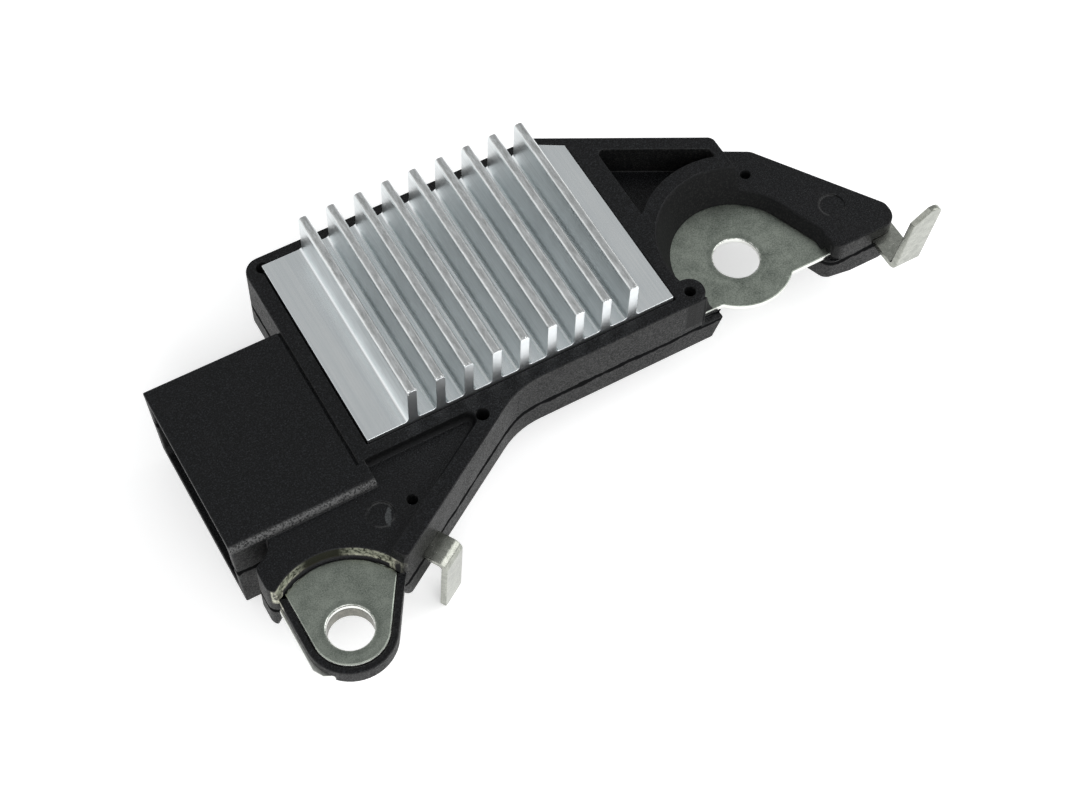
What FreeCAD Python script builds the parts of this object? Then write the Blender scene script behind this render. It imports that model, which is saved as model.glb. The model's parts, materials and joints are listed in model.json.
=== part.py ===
import FreeCAD, Part
import math
import os
import Sketcher

# Alternator voltage regulator: an insert-moulded plastic housing with a finned
# heat sink on top, a connector socket on the left, two fixing eyes and two
# contact tabs. Millimetres. The origin is the axis of the lower fixing hole on
# the mounting plane, +X runs along the heat sink's long side, +Y along its fins.

doc = FreeCAD.newDocument("regulator")
vector = FreeCAD.Vector

sizes = {
    # lead frame and fixing holes, heights are measured from the mounting plane
    "sheetThick": 0.9,
    "upperHole": 3.2,
    "lowerHole": 2.95,
    "eyeGapX": 13.3,
    "eyeRiseY": 4.4,
    # heat sink
    "sinkLeft": 12.95,
    "sinkNear": 20.2,
    "sinkLength": 44.75,
    "sinkWidth": 30.2,
    "sinkTop": 6.8,
    "sinkBase": 3.0,
    "sinkCutX": 3.1,
    "sinkCutY": 1.8,
    "finPitch": 4.0,
    "finCount": 9,
    "finThick": 1.35,
    "finHeight": 6.6,
    "finFoot": 0.55,
    "finCrown": 0.5,
    "sinkGap": 0.3,
    # housing levels
    "rimTop": 6.3,
    "webTop": 4.8,
    "armTop": 3.1,
    "bodyDepth": 4.4,
    # housing plan
    "rimLeft": 2.45,
    "rimNear": 2.1,
    "rimFar": 1.8,
    "cornerRound": 2.3,
    "bodyEnd": 5.5,
    "kneeX": 10.4,
    "kneeY": 13.2,
    "armReach": 21.9,
    "armNose": 3.3,
    # diagonal wall of the web, as a line through one point with a slope
    "diagonalX": 9.9,
    "diagonalY": 3.6,
    "diagonalSlope": 0.6175,
    "diagonalRound": 12.0,
    "ridgeRise": 2.7,
    "ridgeTip": 29.0,
    "ridgeTipRound": 1.05,
    "ridgeFoot": 0.6,
    "ridgeSoft": 0.4,
    # connector socket
    "socketReach": 19.2,
    "socketDrop": 3.4,
    "socketWide": 25.8,
    "socketDepth": 8.5,
    "socketWall": 1.5,
    "socketHollow": 15.8,
    "socketLean": 0.75,
    "socketOverlap": 0.9,
    "socketRound": 1.2,
    # contact pins
    "pinCount": 4,
    "pinPitch": 4.0,
    "pinWidth": 1.5,
    "pinSetback": 3.2,
    "pinFirst": 7.7,
    # upper eye
    "eyeRing": 7.85,
    "eyeSeat": 8.95,
    "eyeMouth": 11.3,
    "eyeUnder": 7.75,
    "eyeUnderMouth": 8.2,
    "eyeOpen": 50.0,
    "eyeUnderOpen": 41.5,
    "eyeEdge": 5.55,
    "eyeEmbed": 1.6,
    "eyeTangent": 22.0,
    "eyeKink": 2.9,
    "eyeSlant": 1.55,
    "eyeNook": 11.5,
    "eyeNookDeep": 1.2,
    "eyeNookRound": 1.6,
    "eyeFootRound": 2.0,
    "seatRadius": 6.6,
    "seatRise": 0.05,
    "partingDrop": 0.5,
    "postX": 10.7,
    "postY": 4.5,
    "postRadius": 2.05,
    "postHole": 0.75,
    "pocketArc": 13.5,
    "pocketLeft": 3.5,
    "pocketRim": 2.3,
    "pocketFloor": 1.3,
    # lower ear
    "earRadius": 5.9,
    "earPlate": 4.95,
    "earTop": 2.9,
    "earRimDrop": 0.4,
    "earWall": 9.1,
    "earWallTop": 10.1,
    "earWallUnder": 10.2,
    "earFlank": 32.6,
    "sleeveRadius": 4.2,
    "earSheet": 6.2,
    "lobeLeft": 6.9,
    "lobeTop": 11.9,
    "lobeNeck": 3.9,
    "lobeRise": 0.8,
    "lobeFoot": 8.0,
    "wallEndRound": 0.8,
    # bent tabs
    "tabWidth": 4.0,
    "lowerTabX": 14.3,
    "lowerTabReach": 3.5,
    "lowerTabDrop": 10.7,
    "lowerTabLean": 0.4,
    "rightTabX": 18.0,
    "rightTabReach": 5.15,
    "rightTabRise": 13.3,
    "rightTabLean": 1.7,
    "tabBend": 0.5,
    "tabCutX": 2.5,
    "tabCutY": 2.1,
    "tabRound": 1.4,
    # cavity under the heat sink and what it holds
    "ledgeLeft": 3.55,
    "ledgeNear": 1.0,
    "ledgeRight": 3.5,
    "ledgeFar": 3.4,
    "coverThick": 1.2,
    "coverLedge": 1.4,
    "coverGap": 0.15,
    "glueThick": 0.2,
    "substrateThick": 0.8,
    "substrateLong": 26.0,
    "substrateWide": 17.0,
    "gelTop": 1.3,
    "wireRadius": 0.2,
    "wireDip": 1.0,
    "wireBend": 0.5,
    # marks
    "leadHole": 0.7,
    "ejectorRadius": 1.85,
    "ejectorDepth": 0.15,
    "seamWide": 0.35,
    "seamDeep": 0.25,
}


class Size:
    # A number together with the sheet formula that it comes from.
    def __init__(self, value, text):
        self.value = float(value)
        self.text = text

    def join(self, other, sign, result):
        return Size(result, f"({self.text} {sign} {asSize(other).text})")

    def __add__(self, other):
        return self.join(other, "+", self.value + asSize(other).value)

    def __sub__(self, other):
        return self.join(other, "-", self.value - asSize(other).value)

    def __mul__(self, other):
        return self.join(other, "*", self.value * asSize(other).value)

    def __truediv__(self, other):
        return self.join(other, "/", self.value / asSize(other).value)

    def __radd__(self, other):
        return asSize(other) + self

    def __rsub__(self, other):
        return asSize(other) - self

    def __rmul__(self, other):
        return asSize(other) * self

    def __neg__(self):
        return asSize(0) - self


def asSize(number):
    if isinstance(number, Size):
        return number
    return Size(number, repr(float(number)))


class Sheet:
    # The driving sizes, one cell each, read as attributes.
    def __init__(self, values):
        self.page = doc.addObject("Spreadsheet::Sheet", "Sizes")
        for row, (name, number) in enumerate(values.items(), start=1):
            self.page.set(f"A{row}", name)
            self.page.set(f"B{row}", str(number))
            self.page.setAlias(f"B{row}", name)
            setattr(self, name, Size(number, f"Sizes.{name}"))
        doc.recompute()


s = Sheet(sizes)
zero = asSize(0)


def cosine(angle):
    return Size(math.cos(math.radians(angle.value)), f"cos({angle.text} * 1 deg)")


def sine(angle):
    return Size(math.sin(math.radians(angle.value)), f"sin({angle.text} * 1 deg)")


def root(number):
    return Size(math.sqrt(number.value), f"sqrt({number.text})")


# Places that several pieces share
sinkRight = s.sinkLeft + s.sinkLength
sinkFar = s.sinkNear + s.sinkWidth
sinkUnder = s.sinkTop - s.sinkBase
frameLeft = s.sinkLeft - s.rimLeft
frameNear = s.sinkNear - s.rimNear
frameFar = sinkFar + s.rimFar
eyeX = sinkRight + s.eyeGapX
eyeY = s.sinkNear + s.eyeRiseY
slantX = sinkRight - s.sinkCutX
kneeX = eyeX + s.kneeX
kneeY = eyeY + s.kneeY
slantSlope = (frameFar - kneeY) / (kneeX - slantX)
bodyRight = eyeX + s.bodyEnd
armRight = eyeX + s.armReach
floorZ = -s.bodyDepth
mouthX = frameLeft - s.socketReach
socketEnd = frameLeft + s.socketOverlap
socketNear = frameNear - s.socketDrop
socketFar = socketNear + s.socketWide
hollowEnd = mouthX + s.socketHollow
cavityLeft = s.sinkLeft + s.ledgeLeft
cavityRight = sinkRight - s.ledgeRight
cavityNear = s.sinkNear + s.ledgeNear
cavityFar = sinkFar - s.ledgeFar
coverUnder = floorZ + s.coverThick
plateEdge = eyeY - s.eyeEdge
margin = asSize(6.0)


def slantY(x):
    return frameFar - (x - slantX) * slantSlope


def diagonalY(x):
    return s.diagonalY + (x - s.diagonalX) * s.diagonalSlope


# Sketch and feature helpers

class Arc:
    # Stands between two vertices of an outline whose edge is an arc.
    def __init__(self, x, y, turn=1):
        self.x = asSize(x)
        self.y = asSize(y)
        self.turn = turn


def bindLength(sketch, kind, line, end, size):
    index = sketch.addConstraint(Sketcher.Constraint(kind, -1, 1, line, end, size.value))
    sketch.setExpression(f"Constraints[{index}]", size.text)


def drawOutline(sketch, items):
    # A vertex is (x, y) or (x, y, radius). An Arc between two vertices bends their edge.
    corners = []
    arcs = {}
    for item in items:
        if isinstance(item, Arc):
            arcs[len(corners) - 1] = item
        else:
            corners.append(tuple(asSize(part) for part in item))
    count = len(corners)
    points = [vector(corner[0].value, corner[1].value, 0) for corner in corners]
    starts = list(points)
    ends = list(points)
    rounds = {}
    for i, corner in enumerate(corners):
        if len(corner) < 3 or corner[2].value <= 0:
            continue
        toLast = (points[i - 1] - points[i]).normalize()
        toNext = (points[(i + 1) % count] - points[i]).normalize()
        half = toLast.getAngle(toNext) / 2
        reach = corner[2].value / math.tan(half)
        ends[i] = points[i] + toLast * reach
        starts[i] = points[i] + toNext * reach
        middle = points[i] + (toLast + toNext).normalize() * (corner[2].value / math.sin(half))
        rounds[i] = middle
    edges = []
    for i in range(count):
        j = (i + 1) % count
        if i in arcs:
            centre = vector(arcs[i].x.value, arcs[i].y.value, 0)
            first = starts[i] - centre
            last = ends[j] - centre
            low = math.atan2(first.y, first.x)
            high = math.atan2(last.y, last.x)
            circle = Part.Circle(centre, vector(0, 0, 1), first.Length)
            if arcs[i].turn > 0:
                edge = sketch.addGeometry(Part.ArcOfCircle(circle, low, high), False)
                edges.append((edge, 1, 2))
            else:
                edge = sketch.addGeometry(Part.ArcOfCircle(circle, high, low), False)
                edges.append((edge, 2, 1))
        else:
            edge = sketch.addGeometry(Part.LineSegment(starts[i], ends[j]), False)
            edges.append((edge, 1, 2))
    for i, corner in enumerate(corners):
        last = edges[i - 1]
        following = edges[i]
        if i in rounds:
            centre = rounds[i]
            first = ends[i] - centre
            final = starts[i] - centre
            low = math.atan2(first.y, first.x)
            high = math.atan2(final.y, final.x)
            circle = Part.Circle(centre, vector(0, 0, 1), corner[2].value)
            if first.cross(final).z > 0:
                arc = sketch.addGeometry(Part.ArcOfCircle(circle, low, high), False)
                near, far = 1, 2
            else:
                arc = sketch.addGeometry(Part.ArcOfCircle(circle, high, low), False)
                near, far = 2, 1
            sketch.addConstraint(Sketcher.Constraint("Tangent", last[0], last[2], arc, near))
            sketch.addConstraint(Sketcher.Constraint("Tangent", following[0], following[1], arc, far))
            radius = sketch.addConstraint(Sketcher.Constraint("Radius", arc, corner[2].value))
            sketch.setExpression(f"Constraints[{radius}]", corner[2].text)
            tip = sketch.addGeometry(Part.Point(points[i]), True)
            sketch.addConstraint(Sketcher.Constraint("PointOnObject", tip, 1, last[0]))
            sketch.addConstraint(Sketcher.Constraint("PointOnObject", tip, 1, following[0]))
            bindLength(sketch, "DistanceX", tip, 1, corner[0])
            bindLength(sketch, "DistanceY", tip, 1, corner[1])
        else:
            sketch.addConstraint(Sketcher.Constraint("Coincident", last[0], last[2], following[0], following[1]))
            bindLength(sketch, "DistanceX", following[0], following[1], corner[0])
            bindLength(sketch, "DistanceY", following[0], following[1], corner[1])
    for i, arc in arcs.items():
        chord = ends[(i + 1) % count] - starts[i]
        if abs(chord.x) < abs(chord.y):
            bindLength(sketch, "DistanceX", edges[i][0], 3, arc.x)
        else:
            bindLength(sketch, "DistanceY", edges[i][0], 3, arc.y)


def drawCircle(sketch, x, y, radius):
    x, y, radius = asSize(x), asSize(y), asSize(radius)
    circle = Part.Circle(vector(x.value, y.value, 0), vector(0, 0, 1), radius.value)
    edge = sketch.addGeometry(circle, False)
    bindLength(sketch, "DistanceX", edge, 3, x)
    bindLength(sketch, "DistanceY", edge, 3, y)
    index = sketch.addConstraint(Sketcher.Constraint("Radius", edge, radius.value))
    sketch.setExpression(f"Constraints[{index}]", radius.text)


def newBody(name):
    return doc.addObject("PartDesign::Body", name)


def newSketch(body, name, role="XY_Plane", offset=(0, 0, 0), turn=None):
    # The offset is along the sketch's own x, y and normal, and turn is about its y axis.
    sketch = body.newObject("Sketcher::SketchObject", name)
    plane = [item for item in body.Origin.OriginFeatures if item.Role == role][0]
    sketch.AttachmentSupport = [(plane, "")]
    sketch.MapMode = "FlatFace"
    spin = FreeCAD.Rotation(vector(0, 1, 0), turn) if turn else FreeCAD.Rotation()
    places = [asSize(part) for part in offset]
    base = vector(*(place.value for place in places))
    sketch.AttachmentOffset = FreeCAD.Placement(base, spin)
    for axis, place in zip("xyz", places):
        sketch.setExpression(f"AttachmentOffset.Base.{axis}", place.text)
    return sketch


def extrude(body, kind, name, sketch, length, back=False, taper=None):
    feature = body.newObject(f"PartDesign::{kind}", name)
    feature.Profile = sketch
    feature.Reversed = back
    feature.setExpression("Length", asSize(length).text)
    if taper:
        feature.setExpression("TaperAngle", taper)
    sketch.Visibility = False
    return feature


def pad(body, name, low, high, items, taper=None):
    sketch = newSketch(body, f"{name}Sketch", offset=(0, 0, low))
    drawOutline(sketch, items)
    return extrude(body, "Pad", name, sketch, high - low, taper=taper)


def pocket(body, name, low, high, items, taper=None):
    # Cuts upwards from low to high.
    sketch = newSketch(body, f"{name}Sketch", offset=(0, 0, low))
    drawOutline(sketch, items)
    return extrude(body, "Pocket", name, sketch, high - low, back=True, taper=taper)


def pocketDown(body, name, high, low, items, taper=None):
    # Cuts downwards from high to low.
    sketch = newSketch(body, f"{name}Sketch", offset=(0, 0, high))
    drawOutline(sketch, items)
    return extrude(body, "Pocket", name, sketch, high - low, taper=taper)


def drill(body, name, high, low, holes):
    sketch = newSketch(body, f"{name}Sketch", offset=(0, 0, high))
    for x, y, radius in holes:
        drawCircle(sketch, x, y, radius)
    return extrude(body, "Pocket", name, sketch, high - low)


def rectangle(left, near, right, far, radius=0):
    return [(left, near, radius), (right, near, radius), (right, far, radius), (left, far, radius)]


def slope(run, rise):
    return f"atan({run.text} / {rise.text})"


def roundEdges(body, name, radius, choose):
    doc.recompute()
    base = body.Tip
    names = [f"Edge{i + 1}" for i, edge in enumerate(base.Shape.Edges) if choose(edge)]
    feature = body.newObject("PartDesign::Fillet", name)
    feature.Base = (base, names)
    feature.setExpression("Radius", asSize(radius).text)
    return feature


def edgeMiddle(edge):
    return edge.valueAt((edge.FirstParameter + edge.LastParameter) / 2)


def close(first, second, gap=0.05):
    return abs(first - asSize(second).value) < gap


# Outlines of the two eyes

def eyeOutline(radius, opening, kinkY, cornerRound=0):
    # Round at the back, tangent towards the arm down to kinkY and open at the front.
    sideX = eyeX + radius * cosine(s.eyeTangent)
    sideY = eyeY + radius * sine(s.eyeTangent)
    frontY = frameNear - margin
    run = (sideY - kinkY) * sine(s.eyeTangent) / cosine(s.eyeTangent)
    leftX = eyeX - radius * cosine(opening)
    leftY = eyeY - radius * sine(opening)
    kinkX = sideX + run
    outline = [
        (sideX, sideY),
        Arc(eyeX, eyeY),
        (leftX, leftY),
        (leftX, frontY),
    ]
    if cornerRound:
        wide = kinkX + cornerRound * 2
        return outline + [(wide, frontY), (wide, kinkY), (kinkX, kinkY, cornerRound)]
    return outline + [(kinkX, frontY), (kinkX, kinkY)]


def earOutline(radius, reach):
    # Round below, a straight left side, a slanted right side and an arc on top.
    side = root(reach * reach - radius * radius)
    across = cosine(s.earFlank)
    down = sine(s.earFlank)
    return [
        (-radius, zero),
        Arc(0, 0),
        (radius * across, -radius * down),
        (radius * across + side * down, side * across - radius * down),
        Arc(0, 0),
        (-radius, side),
    ]


# Heat sink: an extruded base with fins, one far corner cut to follow the housing

def makeHeatSink():
    body = newBody("heat_sink")
    pad(body, "sinkPlate", sinkUnder, s.sinkTop, [
        (s.sinkLeft, s.sinkNear),
        (sinkRight, s.sinkNear),
        (sinkRight, sinkFar - s.sinkCutY),
        (slantX, sinkFar),
        (s.sinkLeft, sinkFar),
    ])
    firstFin = s.sinkLeft + (s.sinkLength - (s.finCount - 1) * s.finPitch) / 2
    half = s.finThick / 2
    foot = half + s.finFoot * 1.3
    finTop = s.sinkTop + s.finHeight
    finRoot = s.sinkTop - s.sinkBase / 2
    sketch = newSketch(body, "finSketch", "XZ_Plane", offset=(0, 0, -s.sinkNear))
    drawOutline(sketch, [
        (firstFin - foot, finRoot),
        (firstFin + foot, finRoot),
        (firstFin + foot, s.sinkTop),
        (firstFin + half, s.sinkTop, s.finFoot),
        (firstFin + half, finTop, s.finCrown),
        (firstFin - half, finTop, s.finCrown),
        (firstFin - half, s.sinkTop, s.finFoot),
        (firstFin - foot, s.sinkTop),
    ])
    fin = extrude(body, "Pad", "fin", sketch, s.sinkWidth, back=True)
    row = body.newObject("PartDesign::LinearPattern", "finRow")
    row.Originals = [fin]
    row.Direction = (sketch, ["H_Axis"])
    row.setExpression("Length", ((s.finCount - 1) * s.finPitch).text)
    row.setExpression("Occurrences", s.finCount.text)
    body.Tip = row
    return body


# Lead frame: every lead is a stamped strip that lies on the mounting plane

def makeRingTerminal():
    body = newBody("upper_ring_terminal")
    seat = s.eyeSeat + s.eyeEmbed
    half = root(s.eyeRing * s.eyeRing - s.eyeEdge * s.eyeEdge)
    sideX = eyeX + seat * cosine(s.eyeTangent)
    sideY = eyeY + seat * sine(s.eyeTangent)
    run = (sideY - plateEdge) * sine(s.eyeTangent) / cosine(s.eyeTangent)
    tailY = eyeY + 2.6
    tailX = eyeX - root(seat * seat - asSize(2.6) * 2.6)
    pad(body, "ringPlate", zero, s.sheetThick, [
        (eyeX - seat + 0.4, plateEdge),
        (eyeX - half, plateEdge),
        Arc(eyeX, eyeY),
        (eyeX + half, plateEdge),
        (sideX + run - 0.6, plateEdge),
        (sideX, sideY),
        Arc(eyeX, eyeY),
        (tailX, tailY),
        (cavityRight - 2.0, tailY),
        (cavityRight - 2.0, eyeY + 0.2),
        (eyeX - seat + 0.4, eyeY + 0.2),
    ])
    # pressed seat round the hole, just proud of the sheet on both sides
    seatTop = s.sheetThick + s.seatRise
    sketch = newSketch(body, "pressedSeatSketch", offset=(0, 0, -s.seatRise))
    drawCircle(sketch, eyeX, eyeY, s.seatRadius)
    extrude(body, "Pad", "pressedSeat", sketch, seatTop + s.seatRise)
    drill(body, "ringHole", seatTop, -s.seatRise, [(eyeX, eyeY, s.upperHole)])
    return body


def bendTab(body, name, base, turn, up, reach, height, lean, inner):
    # The side view of a bent tab, drawn across its width: x points inwards and y up.
    sketch = newSketch(body, f"{name}Sketch", "YZ_Plane", offset=base, turn=turn)
    thick = s.sheetThick
    outside = s.tabBend + thick
    tip = -reach + lean
    if up:
        drawOutline(sketch, [
            (inner, thick),
            (-reach + thick, thick, s.tabBend),
            (tip + thick, thick + height),
            (tip, thick + height),
            (-reach, zero, outside),
            (inner, zero),
        ])
    else:
        drawOutline(sketch, [
            (inner, zero),
            (inner, thick),
            (-reach, thick, outside),
            (tip, -height),
            (tip + thick, -height),
            (-reach + thick, zero, s.tabBend),
        ])
    return extrude(body, "Pad", name, sketch, s.tabWidth)


def makeRightTab():
    body = newBody("right_tab_lead")
    left = eyeX + s.rightTabX
    wide = asSize(2.4)
    outerX = kneeX + 3.8
    outerY = kneeY - 8.0
    strip = cavityFar - 5.4
    pad(body, "rightStrip", zero, s.sheetThick, [
        (left, frameNear + 0.5),
        (left + wide, frameNear + 0.5),
        (left + wide, frameNear + 4.0),
        (outerX, outerY),
        (kneeX - 2.4, kneeY - 0.9),
        (kneeX - 14.6, strip + wide),
        (cavityRight - 2.0, strip + wide),
        (cavityRight - 2.0, strip),
        (kneeX - 15.2, strip),
        (kneeX - 3.6, kneeY - 2.9),
        (outerX - 1.6, outerY - 1.5),
        (left, frameNear + 3.2),
    ])
    bendTab(body, "rightBlade", (frameNear, 0, left), None, True,
            s.rightTabReach, s.rightTabRise, -s.rightTabLean, asSize(1.5))
    doc.recompute()
    tipZ = s.sheetThick + s.rightTabRise

    def corner(edge, x):
        middle = edgeMiddle(edge)
        return close(middle.x, x) and close(middle.z, tipZ) and edge.BoundBox.XLength < 0.01

    base = body.Tip
    edges = enumerate(base.Shape.Edges)
    cut = body.newObject("PartDesign::Chamfer", "bladeCut")
    cut.Base = (base, [f"Edge{i + 1}" for i, edge in edges if corner(edge, left)])
    cut.ChamferType = "Two distances"
    cut.setExpression("Size", s.tabCutY.text)
    cut.setExpression("Size2", s.tabCutX.text)
    roundEdges(body, "bladeRound", s.tabRound, lambda edge: corner(edge, left + s.tabWidth))
    return body


def makeLowerTab():
    body = newBody("lower_tab_lead")
    angle = math.degrees(math.atan(s.diagonalSlope.value))
    stretch = root(s.diagonalSlope * s.diagonalSlope + 1)
    halfX = s.tabWidth / stretch / 2
    left = s.lowerTabX - halfX
    right = s.lowerTabX + halfX
    stripLeft = s.lowerTabX + 10.7
    wide = 2.4
    stripRight = stripLeft + wide
    pad(body, "lowerStrip", zero, s.sheetThick, [
        (left, diagonalY(left)),
        (right, diagonalY(right)),
        (right - 0.8, diagonalY(right - 0.8) + 1.7),
        (stripRight, diagonalY(stripRight) + 1.7),
        (stripRight, cavityNear + 2.2),
        (stripLeft, cavityNear + 2.2),
        (stripLeft, diagonalY(stripLeft) + 3.4),
        (left - 1.2, diagonalY(left) + 2.0),
    ])
    bendTab(body, "lowerBlade", (diagonalY(left), 0, left), angle, False,
            s.lowerTabReach, s.lowerTabDrop, s.lowerTabLean, asSize(1.0))

    def tipEdge(edge):
        return close(edgeMiddle(edge).z, -s.lowerTabDrop) and close(edge.Length, s.sheetThick)

    roundEdges(body, "bladeRound", s.tabBend, tipEdge)
    return body


def makeEarLead():
    body = newBody("lower_ear_lead")
    edge = s.earSheet
    inner = s.earPlate + 0.35
    across = cosine(s.earFlank)
    down = sine(s.earFlank)
    flat = inner * 0.7071
    tailLeft = cavityLeft + 3.8
    pad(body, "earSheet", zero, s.sheetThick, [
        (-edge, s.earWall - 2.1),
        (-edge, -2.0),
        (-edge + 0.7, -3.5),
        (-edge + 1.6, -4.3),
        (-flat, -flat),
        Arc(0, 0),
        (inner * across, -inner * down),
        (inner * across + 4.4 * down, 4.4 * across - inner * down),
        (7.2, 9.3),
        (10.5, 12.2),
        (tailLeft + 2.4, cavityNear - 2.6),
        (tailLeft + 2.4, cavityNear + 2.0),
        (tailLeft, cavityNear + 2.0),
        (tailLeft, cavityNear - 1.2),
        (9.0, 14.2),
        (4.5, 10.6),
        (-edge + 3.0, s.earWall + 1.4),
    ])
    drill(body, "sheetHole", s.sheetThick, zero, [(zero, zero, s.sleeveRadius)])
    return body


def makePin(index):
    body = newBody(f"connector_pin_{index + 1}")
    middle = socketNear + s.pinFirst + index * s.pinPitch
    half = s.pinWidth / 2
    start = mouthX + s.pinSetback
    end = cavityLeft + 2.2
    taper = half * 0.45
    pad(body, "pinStrip", zero, s.sheetThick, [
        (start, middle - taper),
        (start + 1.2, middle - half),
        (cavityLeft + 0.2, middle - half),
        (cavityLeft + 0.2, middle - half - 0.35),
        (end, middle - half - 0.35),
        (end, middle + half + 0.35),
        (cavityLeft + 0.2, middle + half + 0.35),
        (cavityLeft + 0.2, middle + half),
        (start + 1.2, middle + half),
        (start, middle + taper),
    ])
    return body


# Lower ear hardware: the plate on top and the sleeve that carries the screw's load

def makeEarPlate():
    body = newBody("lower_ear_plate")
    pad(body, "earPlate", s.earTop - s.sheetThick, s.earTop, earOutline(s.earPlate, s.earWall + 0.2))
    drill(body, "plateHole", s.earTop, zero, [(zero, zero, s.lowerHole)])
    doc.recompute()
    base = body.Tip
    edges = enumerate(base.Shape.Edges)
    bevel = body.newObject("PartDesign::Chamfer", "plateEdge")
    bevel.Base = (base, [f"Edge{i + 1}" for i, edge in edges if close(edgeMiddle(edge).z, s.earTop)])
    bevel.setExpression("Size", (s.sheetThick * 0.2).text)
    return body


def makeSleeve():
    body = newBody("lower_ear_sleeve")
    sketch = newSketch(body, "sleeveSketch")
    drawCircle(sketch, zero, zero, s.sleeveRadius)
    extrude(body, "Pad", "sleeveTube", sketch, s.earTop - s.sheetThick)
    drill(body, "sleeveBore", s.earTop, zero, [(zero, zero, s.lowerHole)])
    return body


# Housing moulding

def makeMoulding():
    body = newBody("housing_moulding")
    tail = frameNear + 4.0
    rightFoot = s.diagonalX + (frameNear - s.diagonalY) / s.diagonalSlope
    pad(body, "web", floorZ, s.webTop, [
        (-s.lobeNeck, socketNear - 0.5),
        (-s.lobeNeck - 1.0, s.lobeTop + s.lobeRise, 0.5),
        (-s.lobeLeft, s.lobeTop, 1.2),
        (-s.lobeLeft, s.lobeFoot, 1.4),
        (-s.lobeNeck, s.lobeFoot - 1.0),
        (s.diagonalX - 2.0, diagonalY(s.diagonalX - 2.0)),
        (rightFoot, frameNear, s.diagonalRound),
        (rightFoot + 8.0, frameNear),
        (rightFoot + 8.0, tail),
        (-s.lobeNeck, tail),
    ])
    # raised ridge along the diagonal wall, with soft edges towards the web
    start = s.diagonalX - 2.0
    ridgeLeft = frameLeft + 0.5
    innerSlope = (frameNear - diagonalY(start) - s.ridgeRise) / (s.ridgeTip - start)
    pad(body, "ridge", s.webTop - 1.0, s.rimTop, [
        (start, diagonalY(start)),
        (rightFoot, frameNear, s.diagonalRound),
        (rightFoot + 8.0, frameNear),
        (rightFoot + 8.0, tail),
        (ridgeLeft, tail),
        (ridgeLeft, frameNear),
        (s.ridgeTip, frameNear, s.ridgeTipRound),
        (start, diagonalY(start) + s.ridgeRise),
    ])

    def innerEdge(edge, level):
        middle = edgeMiddle(edge)
        flat = close(middle.z, level) and edge.BoundBox.ZLength < 0.01
        onLine = close(middle.y, frameNear - (s.ridgeTip - middle.x) * innerSlope)
        return flat and onLine and edge.Length > 4

    roundEdges(body, "ridgeFoot", s.ridgeFoot, lambda edge: innerEdge(edge, s.webTop))
    roundEdges(body, "ridgeSoft", s.ridgeSoft, lambda edge: innerEdge(edge, s.rimTop))

    pad(body, "core", floorZ, s.rimTop, [
        (frameLeft, frameNear),
        (bodyRight, frameNear),
        (bodyRight, slantY(bodyRight), 1.2),
        (slantX, frameFar, 1.0),
        (frameLeft, frameFar, s.cornerRound),
    ])
    pad(body, "arm", floorZ, s.armTop, [
        (eyeX - 10.0, frameNear),
        (armRight, frameNear, 2.2),
        (armRight, frameNear + s.armNose, 1.6),
        (kneeX, kneeY, 2.0),
        (slantX + 3.0, slantY(slantX + 3.0)),
    ])
    sketch = newSketch(body, "socketSketch", "XZ_Plane", offset=(0, 0, -socketNear))
    drawOutline(sketch, [
        (mouthX, s.rimTop),
        (mouthX + s.socketLean, -s.socketDepth),
        (socketEnd, -s.socketDepth),
        (socketEnd, s.rimTop),
    ])
    extrude(body, "Pad", "socket", sketch, s.socketWide, back=True)

    # recesses of the two eyes, their walls lean outwards
    pocket(body, "eyeAbove", s.sheetThick, s.rimTop, eyeOutline(s.eyeSeat, s.eyeOpen, eyeY - s.eyeKink),
           slope(s.eyeMouth - s.eyeSeat, s.rimTop - s.sheetThick))
    pocketDown(body, "eyeBelow", zero, floorZ,
               eyeOutline(s.eyeUnder, s.eyeUnderOpen, frameNear, s.eyeFootRound),
               slope(s.eyeUnderMouth - s.eyeUnder, s.bodyDepth))
    frontY = frameNear - margin
    postSide = eyeX - s.postX + s.postRadius
    pocket(body, "frontLeft", -s.partingDrop, s.rimTop, [
        (postSide - 3.0, frontY),
        (eyeX, frontY),
        (eyeX, plateEdge),
        (postSide, plateEdge),
        (postSide, frameNear, 0.9),
        (postSide - 3.0, frameNear),
    ])
    nookX = eyeX + s.eyeNook
    nookY = plateEdge + s.eyeNookDeep
    pocket(body, "frontRight", zero, s.armTop, [
        (eyeX, frontY),
        (nookX + s.eyeNookRound * 2, frontY),
        (nookX + s.eyeNookRound * 2, frameNear),
        (nookX, frameNear, s.eyeNookRound),
        (nookX, nookY),
        (eyeX, nookY),
    ])

    # the near wall ends on a slant below the upper eye
    slantEnd = eyeX - s.eyeUnder * cosine(s.eyeUnderOpen)
    slantDepth = eyeY - s.eyeUnder * sine(s.eyeUnderOpen) - frontY
    sketch = newSketch(body, "wallSlantSketch", "XZ_Plane", offset=(0, 0, -frontY))
    drawOutline(sketch, [
        (slantEnd + 0.5, zero),
        (slantEnd, zero),
        (slantEnd - s.eyeSlant, floorZ),
        (slantEnd + 0.5, floorZ),
    ])
    extrude(body, "Pocket", "wallSlant", sketch, slantDepth)
    wall = s.earWall
    for name, level, end, top in (("earAbove", zero, s.rimTop, s.earWallTop),
                                  ("earBelow", zero, floorZ, s.earWallUnder)):
        low = [(-wall, -wall), (wall, -wall), (wall, zero), Arc(0, 0), (-wall, zero)]
        if end.value > 0:
            pocket(body, name, level, end, low, slope(top - wall, end))
        else:
            pocketDown(body, name, level, end, low, slope(top - wall, -end))

    def wallEnd(edge):
        middle = edgeMiddle(edge)
        upright = edge.BoundBox.ZLength > 2
        return upright and abs(middle.x - s.earWall.value) < 1.5 and abs(middle.y - diagonalY(s.earWall).value) < 1.0

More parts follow.
